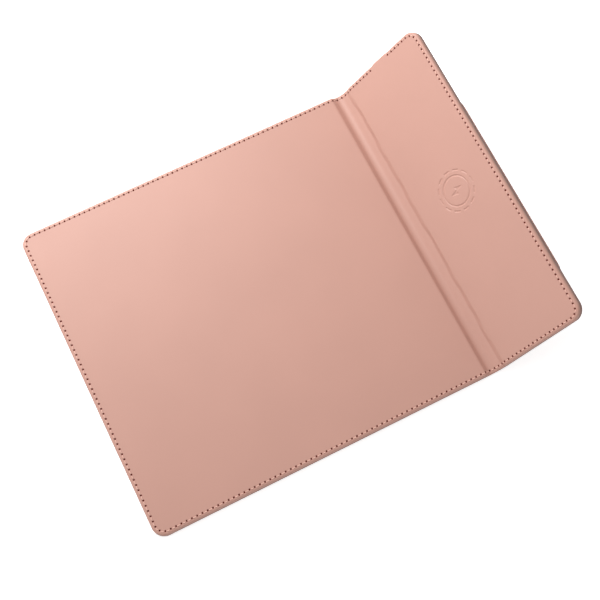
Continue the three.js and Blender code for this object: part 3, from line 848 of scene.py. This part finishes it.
def build_mat():
    panel_points = inner_points(PANEL_END, PANEL_ACROSS, PANEL_COARSE)
    flap_points = inner_points(FLAP_END, FLAP_ACROSS, FLAP_COARSE)
    build_top("panel", PANEL_PATH, PANEL_PITCH, panel_points, ["panel_top_cover", "spine_top_cover"])
    build_top("flap", FLAP_PATH, FLAP_PITCH, marked_points(), ["flap_top_cover"], mark_depth)
    build_under("panel", PANEL_PATH, PANEL_PITCH, panel_points, ["panel_base_cover", "spine_base_cover"])
    build_under("flap", FLAP_PATH, FLAP_PITCH, flap_points, ["flap_base_cover"])
    build_threads("panel", PANEL_PATH, PANEL_PITCH, PANEL_KEEP,
                  ["panel_stitching", "spine_stitching_near", "spine_stitching_far"])
    build_threads("flap", FLAP_PATH, FLAP_PITCH, FLAP_KEEP, ["flap_stitching", "flap_stitching_by_port"])


# ---------- The prop leaf ----------

LEAF_HALF_WIDTH = box_mm("prop_outer_skin")[1][1]
ANCHOR_END = flat_s("prop_anchor_strip")[1] - CREASE_B - (PROP_AXIS - FLAP_AXIS) @ FLAP_DIRECTION


def leaf_line():
    """The leaf's direction from its crease to its foot, and its length, from the CAD board."""
    points = np.array([v.co for v in frame["nodes"]["prop_board"].data.vertices]) / MM
    away = points[:, [0, 2]] - PROP_AXIS
    reach = np.linalg.norm(away, axis=1)
    direction = away[reach > reach.max() - LEAF_TIP].mean(axis=0)
    direction /= np.linalg.norm(direction)
    return direction, (away @ direction).max() + LEAF_HALF


LEAF_DIRECTION, LEAF_LENGTH = leaf_line()
LEAF_ANGLE = math.atan2(-LEAF_DIRECTION[1], -LEAF_DIRECTION[0])


def leaf_half(s):
    return HINGE_HALF + (LEAF_HALF - HINGE_HALF) * smoothstep(np.abs(s), *HINGE_SLOPE)


def stand_leaf(points):
    corner_at_hinge = (0.0, FLAP_ANGLE - LEAF_ANGLE, LEAF_BEND)
    return bend(points, [corner_at_hinge], (0.0, *PROP_AXIS), LEAF_ANGLE, 0.0)


def finish_leaf(obj, replaced=()):
    """Bakes a leaf piece's placement into its mesh and hides the CAD nodes it replaces."""
    way = LEAF_DIRECTION - FLAP_DIRECTION
    way /= np.linalg.norm(way)
    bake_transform(obj)
    if replaced:
        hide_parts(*replaced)


def leaf_surface(side):
    return lambda s, y: side * leaf_half(np.asarray(s, float))


def leaf_join(side):
    return lambda s, y: np.full(np.shape(s), side * LEAF_JOIN)


def build_leaf():
    path = closed_path(-LEAF_LENGTH, ANCHOR_END, LEAF_HALF_WIDTH, LEAF_CORNER, LEAF_INSET)
    holes, keep = hole_places(path, LEAF_PITCH)
    across = np.arange(LEAF_SIDE - LEAF_HALF_WIDTH, LEAF_HALF_WIDTH - LEAF_SIDE + 1, LEAF_ACROSS)
    inside = lattice(LEAF_LINES, across)
    for name, side, replaced in (("inner", 1, ["prop_inner_skin", "prop_anchor_strip"]),
                                 ("outer", -1, ["prop_outer_skin"])):
        points, faces, shares = sheet(path, LEAF_INSET, LEAF_PITCH, leaf_surface(side), side, leaf_join(side),
                                      LEAF_ROUNDING, holes, inside, rows_in=LEAF_ROWS,
                                      thickness=LEAF_LEATHER, columns=LEAF_COLUMNS)
        obj = make_mesh(f"prop_leather_{name}", stand_leaf(points), faces, LEATHER_BASE, shares)
        finish_leaf(obj, replaced)
    points, faces = joined(*(stitches(path, LEAF_PITCH, keep, leaf_surface(side), side, LEAF_SINK, LEAF_LIFT)
                             for side in (1, -1)))
    finish_leaf(make_mesh("prop_thread", stand_leaf(points), faces, THREAD))


# ---------- CAD nodes that stay as they are ----------


def paint_nodes():
    slots = {row["node"]: row["material_slot"] for row in frame["record"]["subparts"]}
    for name, obj in frame["nodes"].items():
        obj.data.materials.clear()
        obj.data.materials.append(SLOT_MATERIALS[slots[name]])


# ---------- Stage ----------


def for_camera(tree, usual, seen):
    """A strength that is different where the camera looks straight at it."""
    ray = tree.nodes.new("ShaderNodeLightPath")
    span = tree.nodes.new("ShaderNodeMapRange")
    tree.links.new(ray.outputs["Is Camera Ray"], span.inputs["Value"])
    span.inputs["To Min"].default_value = usual
    span.inputs["To Max"].default_value = seen
    return span.outputs["Result"]


def build_floor():
    material, tree, shader = new_material("pale_floor")
    tone = ramp(tree, noise(tree, 3).outputs["Fac"], (0.9, 0.9, 0.9), (0.92, 0.92, 0.92))
    tree.links.new(tone.outputs["Color"], shader.inputs["Base Color"])
    shader.inputs["Roughness"].default_value = 0.8
    shader.inputs["Emission Color"].default_value = (1, 1, 1, 1)
    tree.links.new(for_camera(tree, 0, FLOOR_GLOW), shader.inputs["Emission Strength"])
    corners = [(x * FLOOR_HALF, y * FLOOR_HALF, 0) for x, y in ((-1, -1), (1, -1), (1, 1), (-1, 1))]
    mesh = bpy.data.meshes.new("floor")
    mesh.from_pydata(corners, [], [(0, 1, 2, 3)])
    mesh.materials.append(material)
    floor = bpy.data.objects.new("floor", mesh)
    bpy.context.scene.collection.objects.link(floor)
    floor.location.z = -FLOOR_DROP


def build_surroundings():
    world = bpy.data.worlds.new("studio")
    bpy.context.scene.world = world
    world.use_nodes = True
    tree = world.node_tree
    background = tree.nodes["Background"]
    background.inputs["Color"].default_value = (1, 1, 1, 1)
    tree.links.new(for_camera(tree, FILL, 1), background.inputs["Strength"])


def softbox(name, place, size, power):
    light = bpy.data.lights.new(name, "AREA")
    light.shape = "SQUARE"
    light.size = size
    light.energy = power
    obj = bpy.data.objects.new(name, light)
    bpy.context.scene.collection.objects.link(obj)
    obj.location = place
    aim = Vector(LIGHT_AIM) - Vector(place)
    obj.rotation_euler = aim.to_track_quat("-Z", "Y").to_euler()


def build_camera():
    data = bpy.data.cameras.new("camera")
    data.sensor_width = 36
    data.lens = CAMERA_LENS
    data.clip_start, data.clip_end = 0.01, 20
    camera = bpy.data.objects.new("camera", data)
    bpy.context.scene.collection.objects.link(camera)
    place = Vector(CAMERA_PLACE) * MM
    aim = Vector(CAMERA_AIM) * MM - place
    level = aim.to_track_quat("-Z", "Y").to_matrix().to_4x4()
    roll = Matrix.Rotation(math.radians(CAMERA_ROLL), 4, "Z")
    camera.matrix_world = Matrix.Translation(place) @ level @ roll
    bpy.context.scene.camera = camera


build_mat()
build_leaf()
paint_nodes()
build_floor()
build_surroundings()
for light_name, light_facts in LIGHTS.items():
    softbox(light_name, *light_facts)
build_camera()
bpy.context.scene.view_settings.view_transform = "Standard"
